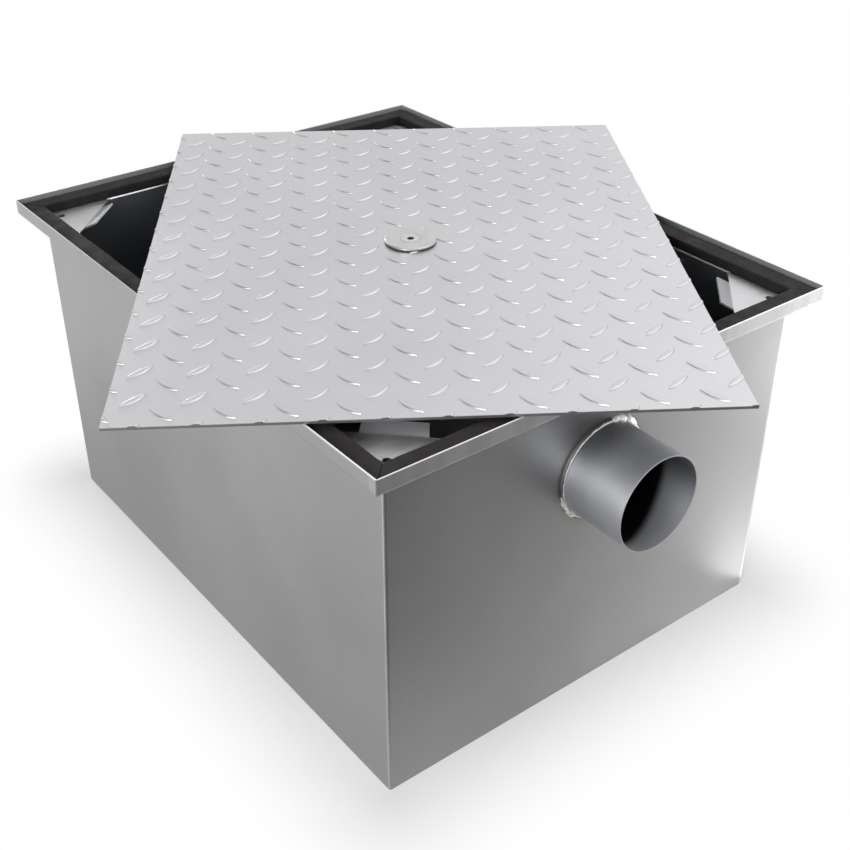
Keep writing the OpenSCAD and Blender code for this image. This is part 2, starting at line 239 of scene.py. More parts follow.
def places_on_sheet(finish):
    """Places on a folded wall, measured from the faces and edges that its marks go by."""
    x, y, z = split_place(finish)
    past_side = less(finish, reckon(finish, "ABSOLUTE", x), TANK_HALF_W)
    past_end = less(finish, reckon(finish, "ABSOLUTE", y), TANK_HALF_L)
    outward = reckon(finish, "MAXIMUM", past_side, past_end)
    sideways = reckon(finish, "MINIMUM", past_side, past_end)
    above_ledge = less(finish, z, LEDGE_Z)
    on_rim = ramp(finish, above_ledge, *RIM_FROM)
    outer_face = times(finish, on_rim, RIM_OUT)
    below_face = less(finish, outer_face, outward)
    from_corner = less(finish, outer_face, sideways)
    return SimpleNamespace(
        x=x, y=y, z=z, outward=outward, sideways=sideways, above_ledge=above_ledge,
        on_rim=on_rim, below_face=below_face, from_corner=from_corner,
    )


def scuffed(finish, colour):
    """Scuffs from handling, in patches."""
    scuffs = ramp(finish, clouds(finish, SCUFFS, detail=2.0, shift=9.0), *SCUFF_TONES)
    patches = ramp(finish, clouds(finish, SCUFF_PATCHES, detail=1.0, shift=14.0), *PATCH_TONES)
    return blend_colours(finish, times(finish, scuffs, patches), colour, SHEET_LIGHT)


def mouth_fold_light_and_shade(finish, at, colour):
    """The fold round the mouth, painted bright as a highlight, and painted near black as shade between
    gusset and gasket.
    """
    fold = band(finish, at.above_ledge, *MOUTH_FOLD)
    fold = times(finish, fold, ramp(finish, at.outward, *MOUTH_INNER))
    by_gusset = ramp(finish, at.sideways, *GUSSET_SPAN)
    return blend_colours(finish, fold, colour, blend_colours(finish, by_gusset, SHEARED_EDGE_AND_HIGHLIGHT, FOLD_SHADE))


def streaked_lip(finish, at, colour):
    """A lip rubbed paler than the walls, in upright streaks."""
    lip = times(finish, at.on_rim, ramp(finish, at.below_face, *LIP_FACE))
    streaks = ramp(finish, clouds(finish, LIP_STREAKS, shift=17.0), *STREAK_TONES)
    return blend_colours(finish, lip, colour, blend_colours(finish, streaks, END_LIP_STREAK, END_LIP))


def ground_corners(finish, at, colour, is_end):
    """Corner welds ground back onto the walls in upright strokes, with a wider band on the ends' right as a
    painted highlight.
    """
    on_wall, on_lip = END_GRINDING if is_end else SIDE_GRINDING
    reach = ramp(finish, at.on_rim, 0.0, 1.0, on_wall, on_lip)
    if is_end:
        right_highlight = times(finish, ramp(finish, at.x, *RIGHT_HALF), ramp(finish, at.on_rim, 1.0, 0.0))
        reach = plus(finish, reach, times(finish, right_highlight, RIGHT_EDGE_HIGHLIGHT))
    ground = ramp(finish, reckon(finish, "DIVIDE", at.from_corner, reach), *GRINDING_EDGE)
    strokes = ramp(finish, clouds(finish, GRINDER_STROKES, detail=2.0, shift=5.0), *STROKE_TONES)
    rubbed = times(finish, strokes, ramp(finish, at.on_rim, 0.0, 1.0, 1.0, LIP_GRINDING))
    return blend_colours(finish, times(finish, ground, rubbed), colour, GROUND_WELD_AND_HIGHLIGHT)


def bright_edges(finish, at, colour, is_end):
    """The lip's sheared cut edge, with a painted highlight brighter to the front along the sides, and a
    painted highlight on the fold under the ends' lips.
    """
    cut = ramp(finish, less(finish, at.z, RIM_TOP), *CUT_EDGE)
    if not is_end:
        cut = times(finish, cut, ramp(finish, at.y, 0.0, -TANK_HALF_L, CUT_AT_MIDDLE, 1.0))
    colour = blend_colours(finish, cut, colour, SHEARED_EDGE_AND_HIGHLIGHT)
    if is_end:
        fold = band(finish, at.above_ledge, *LIP_FOLD)
        fold = times(finish, fold, ramp(finish, at.below_face, *FOLD_FACE))
        colour = blend_colours(finish, fold, colour, GROUND_WELD_AND_HIGHLIGHT)
    return colour


def heat_tinted(finish, at, colour, pipe_height):
    """Straw tint on the wall from welding the pipe on."""
    away = distance(finish, at.x, less(finish, at.z, pipe_height))
    uneven = times(finish, clouds(finish, HEAT_PATCHES, shift=21.0), HEAT_WANDER)
    heat = ramp(finish, plus(finish, away, uneven), *HEAT_REACH)
    return blend_colours(finish, heat, colour, HEAT_STRAW)


def tank_sheet(name, pipe_height=None):
    """The walls' finish. The ends, which carry a pipe at pipe_height, have some marks of their own."""
    is_end = pipe_height is not None
    finish, shader = new_finish(name, metal=1.0, roughness=0.4)
    grain = clouds(finish, SHEET_GRAIN, detail=4.0)
    tone = mottle(finish, grain, clouds(finish, SHEET_CLOUDS, shift=3.0), SHEET_SHARES)
    colour = blend_colours(finish, ramp(finish, tone, *SHEET_TONES), SHEET_DARK, SHEET_LIGHT)
    colour = scuffed(finish, colour)

    # The sheet's inner side was never rubbed down, so it is duller. Its colour is darker and bluer below the
    # ledge, and paler on the lip's inner face.
    at = places_on_sheet(finish)
    inside = band(finish, at.below_face, *INSIDE_FACE)
    inside_colour = blend_colours(finish, at.on_rim, WALL_INSIDE, LIP_INSIDE)
    colour = blend_colours(finish, inside, colour, inside_colour)

    colour = mouth_fold_light_and_shade(finish, at, colour)
    if is_end:
        colour = streaked_lip(finish, at, colour)
    colour = ground_corners(finish, at, colour, is_end)
    colour = bright_edges(finish, at, colour, is_end)
    if is_end:
        colour = heat_tinted(finish, at, colour, pipe_height)

    roughness = ramp(finish, tone, *SHEET_TONES, *SHEET_ROUGHNESS)
    roughness = plus(finish, roughness, times(finish, inside, INSIDE_DULLER))
    lay_on(finish, shader, colour, roughness, grain, SHEET_RELIEF)
    return finish


def dress(nodes, finish):
    for name in nodes:
        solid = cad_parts[name]
        solid.data.materials.clear()
        solid.data.materials.append(finish)


def middle(node):
    low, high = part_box(node)
    return (Vector(low) + Vector(high)) / 2


dress(["floor_plate", "side_panel_left", "side_panel_right"], tank_sheet("tank_sheet"))
for end in ("inlet", "outlet"):
    dress(["end_panel_" + end], tank_sheet("tank_sheet_" + end, middle(end + "_spigot").z))


# Pipe spigots.
# Short ends of 110 mm steel pipe, cut square and stood on the end walls over a hole. Each has a weld run
# round its foot by hand, thick and lumpy where the torch paused and thin where it hurried.

PIPE_R = 0.055
PIPE_DARK = (0.42, 0.43, 0.452, 1.0)
PIPE_LIGHT = (0.475, 0.485, 0.508, 1.0)
PIPE_TOP_SHADE = (0.19, 0.195, 0.205, 1.0)
PIPE_BORE = (0.40, 0.41, 0.43, 1.0)
PIPE_BORE_TOP_SHADE = (0.165, 0.17, 0.182, 1.0)
PIPE_BORE_SHADOW = (0.01, 0.01, 0.012, 1.0)
PIPE_CUT_AND_HIGHLIGHT = (0.50, 0.51, 0.53, 1.0)
DARK_FILLET = (0.11, 0.11, 0.113, 1.0)
BEAD_DARK = (0.62, 0.62, 0.61, 1.0)
BEAD_LIGHT = (0.88, 0.88, 0.87, 1.0)

PIPE_GRAIN = (25.0, 900.0, 1.0)
PIPE_CLOUDS = (18.0, 18.0, 18.0)
THREAD_KINKS = (150.0, 150.0, 150.0)
THREAD_PATCHES = (45.0, 45.0, 45.0)
SPATTER = (420.0, 420.0, 420.0)
PIPE_SHARES = (0.4, 0.7)
TONES = (0.3, 0.8)
PIPE_ROUGHNESS = (0.54, 0.62)
BORE_DULLER = 0.12
PIPE_RELIEF = 0.00001

# Where the pipe's marks lie: above its middle, out from the wall, off its outer face or off its mouth.
TOP_SHADE_UP = (0.018, 0.046)
TOP_SHADE_OUT = (0.05, 0.005)
BORE_FACE = (-0.0006, -0.0012)
BORE_SHADE_UP = (-0.022, 0.022)
BORE_SHADOW_OUT = (0.0635, 0.0515)
BORE_SHADOW_SLANT = 0.35
MOUTH_EDGE = (-0.0006, -0.0002)
FILLET_FACE = (0.0012, 0.0016)
THREAD_OUT = (0.0042, 0.0051, 0.0002)
THREAD_WANDER = 0.0014
THREAD_TONES = (0.35, 0.6, 0.7, 1.0)

# The weld bead: its steps round the pipe and round itself, its thickness, and its place off pipe and wall.
BEAD_STEPS = 360
BEAD_SIDES = 12
BEAD_T = 0.0008
BEAD_WANDER = 0.0003
BEAD_RIPPLE = 0.0002
BEAD_RIPPLES = 46.0
RIPPLE_SHIFT = 3.0
BEAD_DENTS = 0.16
LUMP_EVEN = 0.85
LUMP_UNEVEN = 0.25
BEAD_OFF_PIPE = 0.0012
BEAD_OFF_WALL = 0.0008
BEAD_SUNK = 0.0004
SHARP_FROM = math.radians(40)
SPATTER_TONES = (0.3, 0.62)
WORN_TONES = (0.3, 0.7)
BEAD_ROUGHNESS = (0.28, 0.5)
BEAD_RELIEF = 0.0004

# Density of the noise in the bead's shape: round the pipe, in each lump per degree, and in the dents per
# degree and round the bead.
WANDER_NOISE = 6.0
LUMP_NOISE = 0.11
DENT_NOISE = (0.21, 1.3, 1.3)

# Angle round the pipe from +X to +Z, half width in degrees and added thickness of each lump.
BEAD_LUMPS = (
    (66, 34, 0.0056),
    (96, 12, 0.0022),
    (49, 18, 0.0034),
    (202, 36, 0.0032),
    (224, 13, 0.0036),
    (300, 40, 0.0022),
)


def round_pipe(name, height, length):
    """Rolled pipe with its middle at a height, standing out of its wall by a length."""
    finish, shader = new_finish(name, metal=1.0, roughness=0.42)
    x, y, z = split_place(finish)
    up = less(finish, z, height)
    out = less(finish, reckon(finish, "ABSOLUTE", y), TANK_HALF_L)
    off_face = less(finish, distance(finish, x, up), PIPE_R)
    unrolled = add_node(finish, "ShaderNodeCombineXYZ")
    wire(finish, times(finish, reckon(finish, "ARCTAN2", x, up), PIPE_R), unrolled.inputs[0])
    wire(finish, y, unrolled.inputs[1])
    grain = clouds(finish, PIPE_GRAIN, place=unrolled.outputs[0])
    tone = mottle(finish, grain, clouds(finish, PIPE_CLOUDS, shift=2.0), PIPE_SHARES)
    colour = blend_colours(finish, ramp(finish, tone, *TONES), PIPE_DARK, PIPE_LIGHT)

    # The pipe's top near the wall is painted darker, as painted shade.
    top_shade = times(finish, ramp(finish, up, *TOP_SHADE_UP), ramp(finish, out, *TOP_SHADE_OUT))
    colour = blend_colours(finish, top_shade, colour, PIPE_TOP_SHADE)

    # The bore's upper half is painted darker as shade, and further in a slanted painted shadow turns it
    # black. The mouth's cut edge is painted pale, as cut metal with a painted highlight.
    bore = ramp(finish, off_face, *BORE_FACE)
    bore_colour = blend_colours(finish, ramp(finish, up, *BORE_SHADE_UP), PIPE_BORE, PIPE_BORE_TOP_SHADE)
    bore_shadow = ramp(finish, plus(finish, out, times(finish, x, BORE_SHADOW_SLANT)), *BORE_SHADOW_OUT)
    bore_colour = blend_colours(finish, bore_shadow, bore_colour, PIPE_BORE_SHADOW)
    colour = blend_colours(finish, bore, colour, bore_colour)
    mouth = ramp(finish, less(finish, out, length), *MOUTH_EDGE)
    colour = blend_colours(finish, mouth, colour, PIPE_CUT_AND_HIGHLIGHT)

    # Where the weld is thin its fillet is painted dark, with a bright thread along it.
    fillet = ramp(finish, off_face, *FILLET_FACE)
    colour = blend_colours(finish, fillet, colour, DARK_FILLET)
    kinks = times(finish, clouds(finish, THREAD_KINKS, shift=31.0), THREAD_WANDER)
    thread = band(finish, plus(finish, out, kinks), *THREAD_OUT)
    patches = ramp(finish, clouds(finish, THREAD_PATCHES, detail=2.0, shift=37.0), *THREAD_TONES)
    thread = times(finish, thread, times(finish, fillet, patches))
    colour = blend_colours(finish, thread, colour, BEAD_LIGHT)

    roughness = ramp(finish, tone, *TONES, *PIPE_ROUGHNESS)
    roughness = plus(finish, roughness, times(finish, bore, BORE_DULLER))
    lay_on(finish, shader, colour, roughness, grain, PIPE_RELIEF)
    return finish


def weld_metal(name):
    finish, shader = new_finish(name, metal=0.9, roughness=0.35)
    spatter = clouds(finish, SPATTER)
    colour = blend_colours(finish, ramp(finish, spatter, *SPATTER_TONES), BEAD_DARK, BEAD_LIGHT)
    roughness = ramp(finish, spatter, *WORN_TONES, *BEAD_ROUGHNESS)
    lay_on(finish, shader, colour, roughness, spatter, BEAD_RELIEF)
    return finish


def mesh_piece(name, shape, finish, body):
    """Turns a bmesh into a piece that rides on a body."""
    bmesh.ops.recalc_face_normals(shape, faces=shape.faces)
    mesh = bpy.data.meshes.new(name)
    shape.to_mesh(mesh)
    shape.free()
    piece = bpy.data.objects.new(name, mesh)
    bpy.context.scene.collection.objects.link(piece)
    mesh.materials.append(finish)
    mesh.shade_smooth()
    mesh.set_sharp_from_angle(angle=SHARP_FROM)
    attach(piece, body)
    return piece


def join_rings(shape, rings):
    """Lays faces between one ring of points and the next."""
    for here, there in zip(rings, rings[1:]):
        for j in range(len(here)):
            k = (j + 1) % len(here)
            shape.faces.new((here[j], here[k], there[k], there[j]))


def hill(angle, middle_angle, half_width):
    """1 at middle_angle, falling softly to 0 at half_width to either side, in degrees."""
    away = abs((angle - middle_angle + 180.0) % 360.0 - 180.0) / half_width
    return 0.0 if away >= 1.0 else 0.5 + 0.5 * math.cos(math.pi * away)


def bead_thickness(turn, wander):
    """The bead's thickness at a turn in degrees: thin and rippled, with the lumps on top."""
    ripple = abs(math.sin(math.radians(turn) * BEAD_RIPPLES + RIPPLE_SHIFT * wander))
    thick = BEAD_T + BEAD_WANDER * wander + BEAD_RIPPLE * ripple
    for at, half_width, more in BEAD_LUMPS:
        uneven = LUMP_EVEN + LUMP_UNEVEN * noise.noise(Vector((turn * LUMP_NOISE, at, 2.0)))
        thick += more * uneven * hill(turn, at, half_width)
    return thick


def weld_bead(name, centre, outward):
    """A weld round a pipe's foot."""
    shape = bmesh.new()
    rings = []
    for i in range(BEAD_STEPS):
        turn = 360.0 * i / BEAD_STEPS
        a = math.radians(turn)
        radial = Vector((math.cos(a), 0.0, math.sin(a)))
        spot = Vector((math.cos(a) * WANDER_NOISE, math.sin(a) * WANDER_NOISE, centre.y))
        thick = bead_thickness(turn, noise.noise(spot))
        ring = []
        for j in range(BEAD_SIDES):
            b = 2 * math.pi * j / BEAD_SIDES
            spot = Vector((turn, math.cos(b), math.sin(b))) * Vector(DENT_NOISE)
            dent = 1.0 + BEAD_DENTS * noise.noise(spot)
            off_middle = PIPE_R + BEAD_OFF_PIPE + thick * dent * math.cos(b)
            off_wall = max(BEAD_OFF_WALL + thick * dent * math.sin(b), -BEAD_SUNK)
            ring.append(shape.verts.new(centre + radial * off_middle + outward * off_wall))
        rings.append(ring)
    join_rings(shape, rings + rings[:1])
    return mesh_piece(name, shape, weld_metal(name), "tank")


for end, wall_y in (("inlet", -TANK_HALF_L), ("outlet", TANK_HALF_L)):
    foot = middle(end + "_spigot")
    foot.y = wall_y
    mouth_y = max(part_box(end + "_spigot"), key=lambda corner: abs(corner[1]))[1]
    dress([end + "_spigot"], round_pipe("spigot_pipe_" + end, foot.z, abs(mouth_y) - TANK_HALF_L))
    outward = Vector((0.0, math.copysign(1.0, wall_y), 0.0))
    weld_bead(end + "_weld_bead", foot, outward)


# Corner gussets.
# Pale satin sheet, 2 mm, cut to a triangle with one tab bent up, drilled to let air out of the corner, and
# welded along both walls just under the ledge.

GUSSET_DARK = (0.56, 0.56, 0.57, 1.0)
GUSSET_LIGHT = (0.68, 0.68, 0.69, 1.0)
GUSSET_TAB_SHADE = (0.45, 0.45, 0.46, 1.0)
GUSSET_EDGE_HIGHLIGHT = (0.95, 0.95, 0.96, 1.0)
GUSSET_GRAIN = (30.0, 700.0, 700.0)
GUSSET_CLOUDS = (22.0, 22.0, 22.0)
GUSSET_SHARES = (0.5, 0.6)
TAB_LEAN = (0.8, 0.97, 0.02)
TAB_EDGE_LEAN = (0.3, 0.6, 0.05)
GUSSET_ROUGHNESS = (0.4, 0.52)
GUSSET_RELIEF = 0.00002


def looks_up(finish):
    """How far a face looks up: 1 for a flat top, 0 for an upright side."""
    faces = add_node(finish, "ShaderNodeNewGeometry")
    lie = add_node(finish, "ShaderNodeSeparateXYZ")
    wire(finish, faces.outputs["True Normal"], lie.inputs[0])
    return lie.outputs[2]


def pale_sheet(name):
    finish, shader = new_finish(name, metal=0.85, roughness=0.45)
    grain = clouds(finish, GUSSET_GRAIN, detail=4.0)
    tone = mottle(finish, grain, clouds(finish, GUSSET_CLOUDS, shift=7.0), GUSSET_SHARES)
    colour = blend_colours(finish, ramp(finish, tone, *TONES), GUSSET_DARK, GUSSET_LIGHT)

    # The bent tab, told by its lean, is painted darker as painted shade. Its sheared free edge is painted
    # bright as a painted highlight.
    lean = looks_up(finish)
    colour = blend_colours(finish, band(finish, lean, *TAB_LEAN), colour, GUSSET_TAB_SHADE)
    colour = blend_colours(finish, band(finish, lean, *TAB_EDGE_LEAN), colour, GUSSET_EDGE_HIGHLIGHT)
    roughness = ramp(finish, tone, *TONES, *GUSSET_ROUGHNESS)
    lay_on(finish, shader, colour, roughness, grain, GUSSET_RELIEF)
    return finish


def all_four(kind):
    """The names of four like pieces, two at either end."""
    return [f"{kind}_{end}_{side}" for end in ("inlet", "outlet") for side in ("left", "right")]


dress(all_four("gusset"), pale_sheet("gusset_plate"))


# Gasket strips.
# Black closed cell foam, cut from a roll into four strips, mitred at the corners and stuck down on the
# ledge. The cut edges wander a little, and the top is slack where the lid has pressed it before.

FOAM_DARK = (0.012, 0.010, 0.010, 1.0)
FOAM_LIGHT = (0.046, 0.038, 0.034, 1.0)
FOAM_SIDE_SHADE = (0.003, 0.003, 0.004, 1.0)
FOAM_CELLS = (900.0, 900.0, 900.0)
FOAM_RUBS = (55.0, 55.0, 55.0)
FOAM_SHARES = (0.5, 0.6)
FOAM_TONES = (0.4, 0.75)
FOAM_SIDES = (0.7, 0.3)
FOAM_ROUGHNESS = (0.75, 0.95)
FOAM_RELIEF = 0.0003

# A strip's steps along it, the rounding of its top edges, and how far its top and inner side give way.
STRIP_STEPS = 220
STRIP_ROUND = 0.0016
ROUND_STEPS = 5
SQUARE_UP_TO = 0.004
TOP_SLACK = 0.00035
TOP_ROUGH = 0.00018
SIDE_SLACK = 0.0005
SIDE_ROUGH = 0.0002
END_CALM = 40.0

# Shares of a strip's height and width at which its section has points, and from which it is the inner side.
SIDE_POINT = 0.45
TOP_POINTS = (0.35, 0.65)
INNER_SIDE = 0.9

# Density of the noise in the foam's shape per metre: slack along a strip and across the tank, and roughness.
SLACK_NOISE = 18.0
STRIP_NOISE = 9.0
ROUGH_NOISE = 230.0


def foam(name):
    finish, shader = new_finish(name, metal=0.0, roughness=0.85)
    cells = clouds(finish, FOAM_CELLS)
    rubs = clouds(finish, FOAM_RUBS, detail=4.0, shift=4.0)
    tone = mottle(finish, cells, rubs, FOAM_SHARES)
    colour = blend_colours(finish, ramp(finish, tone, *FOAM_TONES), FOAM_DARK, FOAM_LIGHT)

    # The skin on top is rubbed grey. The upright sides are painted near black, as painted shade.
    colour = blend_colours(finish, ramp(finish, looks_up(finish), *FOAM_SIDES), colour, FOAM_SIDE_SHADE)
    roughness = ramp(finish, rubs, *WORN_TONES, *FOAM_ROUGHNESS)
    lay_on(finish, shader, colour, roughness, cells, FOAM_RELIEF)
    return finish


def strip_section(width, height):
    """A strip's section from its outer foot over the top to its inner foot: square below, rounded above."""
    angles = [math.radians(90.0 * step / (ROUND_STEPS - 1)) for step in range(ROUND_STEPS)]
    points = [(0.0, 0.0), (0.0, height * SIDE_POINT)]
    for a in angles:
        points.append((STRIP_ROUND * (1 - math.cos(a)), height - STRIP_ROUND * (1 - math.sin(a))))
    points += [(width * share, height) for share in TOP_POINTS]
    for a in angles:
        points.append((width - STRIP_ROUND * (1 - math.sin(a)), height - STRIP_ROUND * (1 - math.cos(a))))
    points += [(width, height * SIDE_POINT), (width, 0.0)]
    return points


def close_ends(shape, rings):
    """Closes a bar made of rings at its first and last one."""
    shape.faces.new(rings[0])
    shape.faces.new(rings[-1])


def foam_strip(node, finish):
    low, high = (Vector(corner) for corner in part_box(node))
    along = 0 if node in ("gasket_inlet", "gasket_outlet") else 1
    across = 1 - along
    outer = max((low[across], high[across]), key=abs)
    width = high[across] - low[across]
    half = high[along]
    inward = -math.copysign(1.0, outer)
    shape = bmesh.new()
    rings = []
    for i in range(STRIP_STEPS + 1):
        t = 2.0 * i / STRIP_STEPS - 1.0
        off_end = min(1.0, END_CALM * (1.0 - abs(t)))
        ring = []
        for c, h in strip_section(width, high.z - low.z):
            run = t * (half - c)
            place = Vector((0.0, 0.0, low.z + h))
            place[along] = run
            place[across] = outer + inward * c
            slack = 1.0 + noise.noise(Vector((run * SLACK_NOISE, outer * STRIP_NOISE, 1.0)))
            rough = 1.0 + noise.noise(place * ROUGH_NOISE)
            if h > SQUARE_UP_TO:
                place.z -= TOP_SLACK * slack + TOP_ROUGH * rough
            if c > width * INNER_SIDE:
                place[across] -= inward * (SIDE_SLACK * slack + SIDE_ROUGH * rough) * off_end
            ring.append(shape.verts.new(place))
        rings.append(ring)
    join_rings(shape, rings)
    close_ends(shape, rings)
    strip = mesh_piece(node + "_foam", shape, finish, "tank")
    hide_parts(node)


black_foam = foam("gasket_foam")
for node in ("gasket_left", "gasket_right", "gasket_inlet", "gasket_outlet"):
    foam_strip(node, black_foam)


# Baffles, their guides and the crossbar with its nut.
# Plain sheet with a dull mill finish, folded and dropped in or welded to the inner walls. Splash and grease
# leave them duller and browner towards the floor.

INNER_DARK = (0.27, 0.265, 0.26, 1.0)
INNER_LIGHT = (0.36, 0.357, 0.352, 1.0)
INNER_STAIN = (0.17, 0.15, 0.125, 1.0)
INNER_GRAIN = (500.0, 500.0, 20.0)
INNER_CLOUDS = (9.0, 9.0, 9.0)
INNER_SHARES = (0.4, 0.7)
INNER_ROUGHNESS = (0.45, 0.6)
INNER_RELIEF = 0.00002
STAIN_LEVEL = (0.30, 0.12, 0.0, 0.6)
STAIN_WAVES = 0.12
SCREW_DARK = (0.54, 0.535, 0.53, 1.0)
SCREW_LIGHT = (0.66, 0.655, 0.65, 1.0)
SCREW_WEAR = (260.0, 260.0, 260.0)
SCREW_ROUGHNESS = (0.32, 0.46)
SCREW_RELIEF = 0.00003


def inner_sheet(name):
    finish, shader = new_finish(name, metal=1.0, roughness=0.5)
    grain = clouds(finish, INNER_GRAIN)
    waves = clouds(finish, INNER_CLOUDS, shift=11.0)
    tone = mottle(finish, grain, waves, INNER_SHARES)
    colour = blend_colours(finish, ramp(finish, tone, *TONES), INNER_DARK, INNER_LIGHT)
    z = split_place(finish)[2]
    level = plus(finish, z, times(finish, waves, STAIN_WAVES))
    colour = blend_colours(finish, ramp(finish, level, *STAIN_LEVEL), colour, INNER_STAIN)
    roughness = ramp(finish, tone, *TONES, *INNER_ROUGHNESS)
    lay_on(finish, shader, colour, roughness, grain, INNER_RELIEF)
    return finish


def screw_steel(name):
    finish, shader = new_finish(name, metal=1.0, roughness=0.38)
    worn = clouds(finish, SCREW_WEAR, detail=4.0)
    colour = blend_colours(finish, ramp(finish, worn, *WORN_TONES), SCREW_DARK, SCREW_LIGHT)
    roughness = ramp(finish, worn, *WORN_TONES, *SCREW_ROUGHNESS)
    lay_on(finish, shader, colour, roughness, worn, SCREW_RELIEF)
    return finish


inner_pieces = all_four("baffle_guide") + ["inlet_baffle", "outlet_baffle", "lid_crossbar"]
dress(inner_pieces, inner_sheet("inner_sheet"))
fastener_steel = screw_steel("screw_steel")
dress(["crossbar_nut"], fastener_steel)


# Lid.
# Tread plate, 3 mm, sheared to a rectangle and laid on the rim. The rolls raise lozenges in two leanings,
# each with steep rounded sides and a nearly flat crest, and the shears cut through those at the edges.

PLATE_T = 0.003
EDGE_BREAK = 0.0003
LOZENGE_L = 0.0335
LOZENGE_W = 0.0085
LOZENGE_H = 0.0012
PITCH_X = 0.0572
PITCH_Y = 0.0528
FIRST_LOZENGE = (0.008, -0.023)
COLUMNS = range(-7, 8)
ROWS = range(-9, 10)
PAST_EDGE = 0.012
LEAN = 45.0
OUTLINE_STEPS = 10

# A lozenge's rings from below the plate to its crest: share of its width and of its height. Its length
# shrinks by a share of what its width does.
SIDE_RINGS = ((1.0, -0.25), (1.0, 0.0), (0.91, 0.29), (0.78, 0.72), (0.63, 0.93), (0.36, 1.0))
LENGTH_SHARE = 0.16

PLATE_DARK = (0.586, 0.586, 0.603, 1.0)
PLATE_LIGHT = (0.634, 0.634, 0.652, 1.0)
PLATE_SHEARED = (0.20, 0.20, 0.205, 1.0)
PLATE_SPECKLE = (700.0, 700.0, 700.0)
PLATE_CLOUDS = (7.0, 7.0, 7.0)
PLATE_SHARES = (0.4, 0.7)
PLATE_SIDES = (0.3, 0.1, 0.0, 0.8)
PLATE_ROUGHNESS = (0.36, 0.44)
PLATE_RELIEF = 0.00003

SAME_LEVEL = 1e-5
lid_low, lid_high = (Vector(corner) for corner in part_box("lid_plate"))
lid_foot = [v.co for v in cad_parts["lid_plate"].data.vertices if v.co.z < lid_low.z + SAME_LEVEL]
near_corner = min(lid_foot, key=lambda v: v.y)
left_corner = min(lid_foot, key=lambda v: v.x)
right_corner = max(lid_foot, key=lambda v: v.x)
LID_W = (near_corner - left_corner).length
LID_L = (near_corner - right_corner).length
lid_across = near_corner - left_corner
lid_turn = math.atan2(lid_across.y, lid_across.x)
lid_centre = Vector(((lid_low.x + lid_high.x) / 2, (lid_low.y + lid_high.y) / 2, lid_low.z))


def tread_plate(name):
    finish, shader = new_finish(name, metal=0.85, roughness=0.42)
    speckle = clouds(finish, PLATE_SPECKLE)
    tone = mottle(finish, speckle, clouds(finish, PLATE_CLOUDS, shift=6.0), PLATE_SHARES)
    colour = blend_colours(finish, ramp(finish, tone, *TONES), PLATE_DARK, PLATE_LIGHT)
    upright = ramp(finish, reckon(finish, "ABSOLUTE", looks_up(finish)), *PLATE_SIDES)
    colour = blend_colours(finish, upright, colour, PLATE_SHEARED)
    roughness = ramp(finish, tone, *TONES, *PLATE_ROUGHNESS)
    lay_on(finish, shader, colour, roughness, speckle, PLATE_RELIEF)
    return finish


def add_block(shape, low, high, edge):
    """A closed block with broken edges."""
    made = bmesh.ops.create_cube(shape, size=1.0)
    for vert in made["verts"]:
        for axis in range(3):
            vert.co[axis] = low[axis] if vert.co[axis] < 0 else high[axis]
    edges = list({e for vert in made["verts"] for e in vert.link_edges})
    bmesh.ops.bevel(shape, geom=edges, offset=edge, segments=2, affect="EDGES")


def lozenge_outline():
    """A lozenge's outline: two arcs from tip to tip through its greatest half width."""
    half_l, half_w = LOZENGE_L / 2, LOZENGE_W / 2
    radius = (half_l ** 2 + half_w ** 2) / (2 * half_w)
    reach = math.asin(half_l / radius)
    steps = [reach * (2 * i / OUTLINE_STEPS - 1) for i in range(OUTLINE_STEPS + 1)]
    arc = [(radius * math.sin(a), radius * math.cos(a) - radius + half_w) for a in steps]
    return arc + [(px, -py) for px, py in reversed(arc[1:-1])]


def shear_off(shape, outward, edge):
    """Cuts off what lies further outward than an edge of the plate, and closes the cut."""
    if all(v.co.dot(outward) <= edge for v in shape.verts):
        return
    everything = list(shape.verts) + list(shape.edges) + list(shape.faces)
    bmesh.ops.bisect_plane(
        shape, geom=everything, plane_co=outward * edge, plane_no=outward, clear_outer=True,
    )
    bmesh.ops.holes_fill(shape, edges=[e for e in shape.edges if e.is_boundary])


def lozenge(x, y, lean):
    """A closed lozenge on the plate, sunk a little into it, cut off at the plate's edges."""
    shape = bmesh.new()
    turn = Matrix.Rotation(math.radians(lean), 4, "Z")
    rings = []
    for narrow, height in SIDE_RINGS:
        shorten = 1.0 - LENGTH_SHARE * (1.0 - narrow)
        ring = []
        for px, py in lozenge_outline():
            lifted = Vector((px * shorten, py * narrow, LOZENGE_H * height))
            ring.append(shape.verts.new(turn @ lifted + Vector((x, y, PLATE_T))))
        rings.append(ring)
    join_rings(shape, rings)
    close_ends(shape, rings)
    for outward, edge in ((Vector((1, 0, 0)), LID_W / 2), (Vector((0, 1, 0)), LID_L / 2)):
        shear_off(shape, outward, edge)
        shear_off(shape, -outward, edge)
    return shape


def take_in(shape, other):
    """Adds another bmesh's faces to a shape."""
    copies = {v: shape.verts.new(v.co) for v in other.verts}
    for face in other.faces:
        shape.faces.new([copies[v] for v in face.verts])
    other.free()


